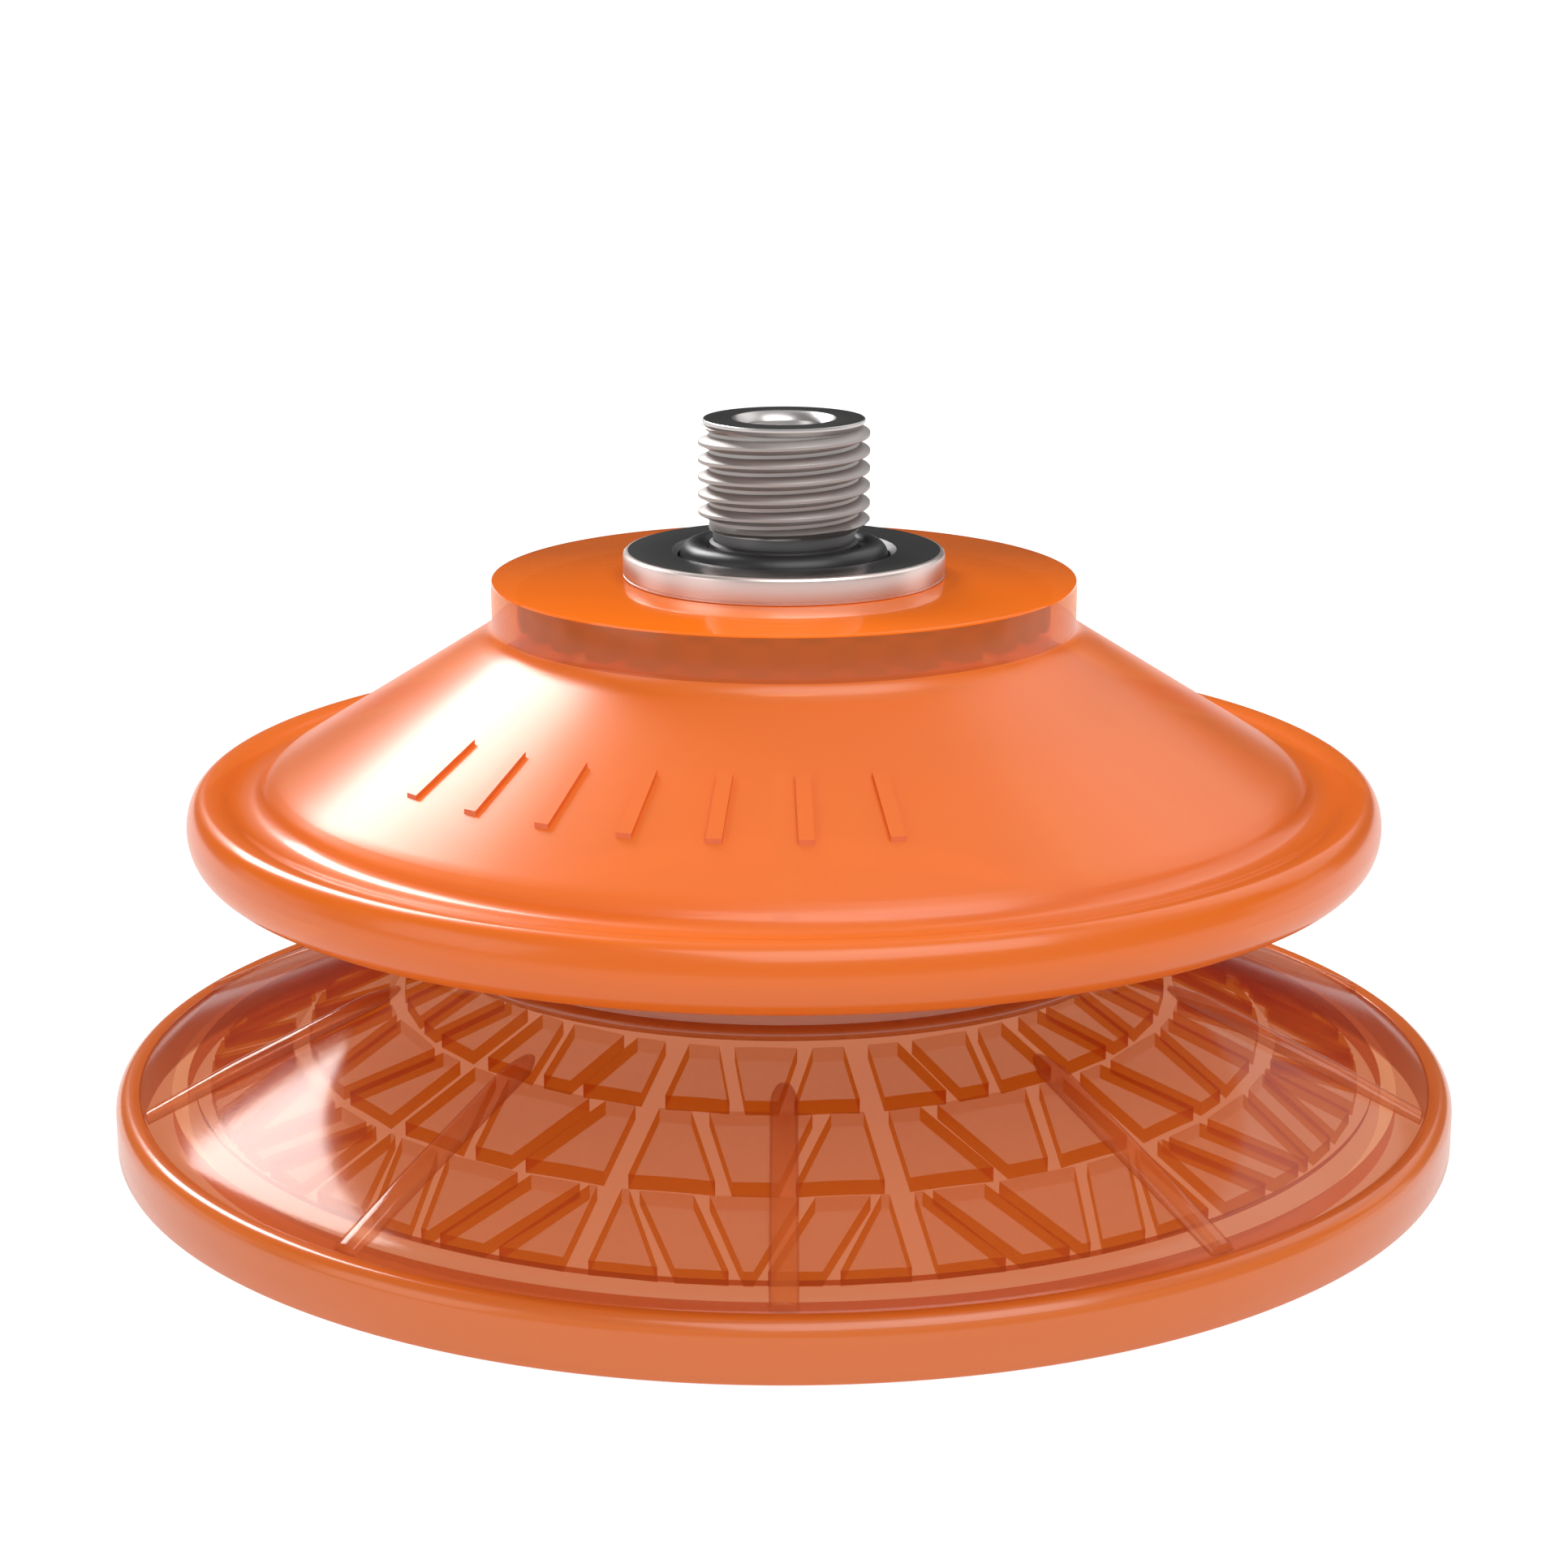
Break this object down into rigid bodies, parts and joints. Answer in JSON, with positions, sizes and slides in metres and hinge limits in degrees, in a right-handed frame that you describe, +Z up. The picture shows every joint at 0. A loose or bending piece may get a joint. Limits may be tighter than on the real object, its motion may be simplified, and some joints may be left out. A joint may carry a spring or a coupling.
{
  "type": "bellows vacuum suction cup",
  "caption": "Translucent elastomer vacuum cup with a single bellows fold, ribbed conical lip, block tread and a threaded metal stud with a sealing ring.",
  "frame": {"origin": "centre of the circle on which the rim of the lip stands", "axes": "+Z up along the cup's axis, from the lip to the threaded stud; -Y is the side with the seven raised bars"},
  "size_m": [0.105, 0.105, 0.0553],
  "materials": {
    "cup_elastomer": "glossy translucent orange elastomer",
    "fitting_metal": "turned, satin",
    "nut_metal": "satin",
    "insert_plastic": "matte",
    "seal_rubber": "black, matte"
  },
  "bodies": {
    "hub": {"threaded_stud": "fitting_metal", "stud_o_ring": "seal_rubber", "hub_insert": "insert_plastic", "clamp_nut": "nut_metal", "hub_plate": "cup_elastomer", "upper_wall": "cup_elastomer", "wall_rib_ring": "cup_elastomer"},
    "fold": {"fold_ring": "cup_elastomer"},
    "waist": {"waist_ring": "cup_elastomer", "lower_wall": "cup_elastomer"},
    "neck": {"neck_ring": "cup_elastomer"},
    "lip": {"lip_cone": "cup_elastomer", "rim_bead": "cup_elastomer", "seal_ridge": "cup_elastomer", "lip_rib_01": "cup_elastomer", "lip_rib_02": "cup_elastomer", "lip_rib_03": "cup_elastomer", "lip_rib_04": "cup_elastomer", "lip_rib_05": "cup_elastomer", "lip_rib_06": "cup_elastomer", "lip_rib_07": "cup_elastomer", "lip_rib_08": "cup_elastomer", "lip_rib_09": "cup_elastomer", "lip_rib_10": "cup_elastomer", "tread_sector_01": "cup_elastomer", "tread_sector_02": "cup_elastomer", "tread_sector_03": "cup_elastomer", "tread_sector_04": "cup_elastomer", "tread_sector_05": "cup_elastomer", "tread_sector_06": "cup_elastomer", "tread_sector_07": "cup_elastomer", "tread_sector_08": "cup_elastomer", "tread_sector_09": "cup_elastomer", "tread_sector_10": "cup_elastomer", "tread_sector_11": "cup_elastomer", "tread_sector_12": "cup_elastomer"}
  },
  "joints": [
    {"name": "upper_bellows_travel", "type": "slide", "parent": "hub", "child": "fold", "axis": [0, 0, 1], "range_m": [0, 0.0075], "stiffness_N_per_m": 900, "deforming": ["upper_wall", "wall_rib_ring"]},
    {"name": "lower_bellows_travel", "type": "slide", "parent": "fold", "child": "waist", "axis": [0, 0, 1], "range_m": [0, 0.004], "stiffness_N_per_m": 900, "deforming": ["lower_wall"]},
    {"name": "lip_tilt_x", "type": "hinge", "parent": "waist", "child": "neck", "pos_m": [0, 0, 0.017], "axis": [1, 0, 0], "range_deg": [-3, 3], "stiffness_Nm_per_rad": 2, "deforming": ["neck_ring"]},
    {"name": "lip_tilt_y", "type": "hinge", "parent": "neck", "child": "lip", "pos_m": [0, 0, 0.017], "axis": [0, 1, 0], "range_deg": [-3, 3], "stiffness_Nm_per_rad": 2, "deforming": ["neck_ring"]}
  ],
  "couplings": [
    {"joint": "lower_bellows_travel", "follows": "upper_bellows_travel", "ratio": 0.53333}
  ]
}
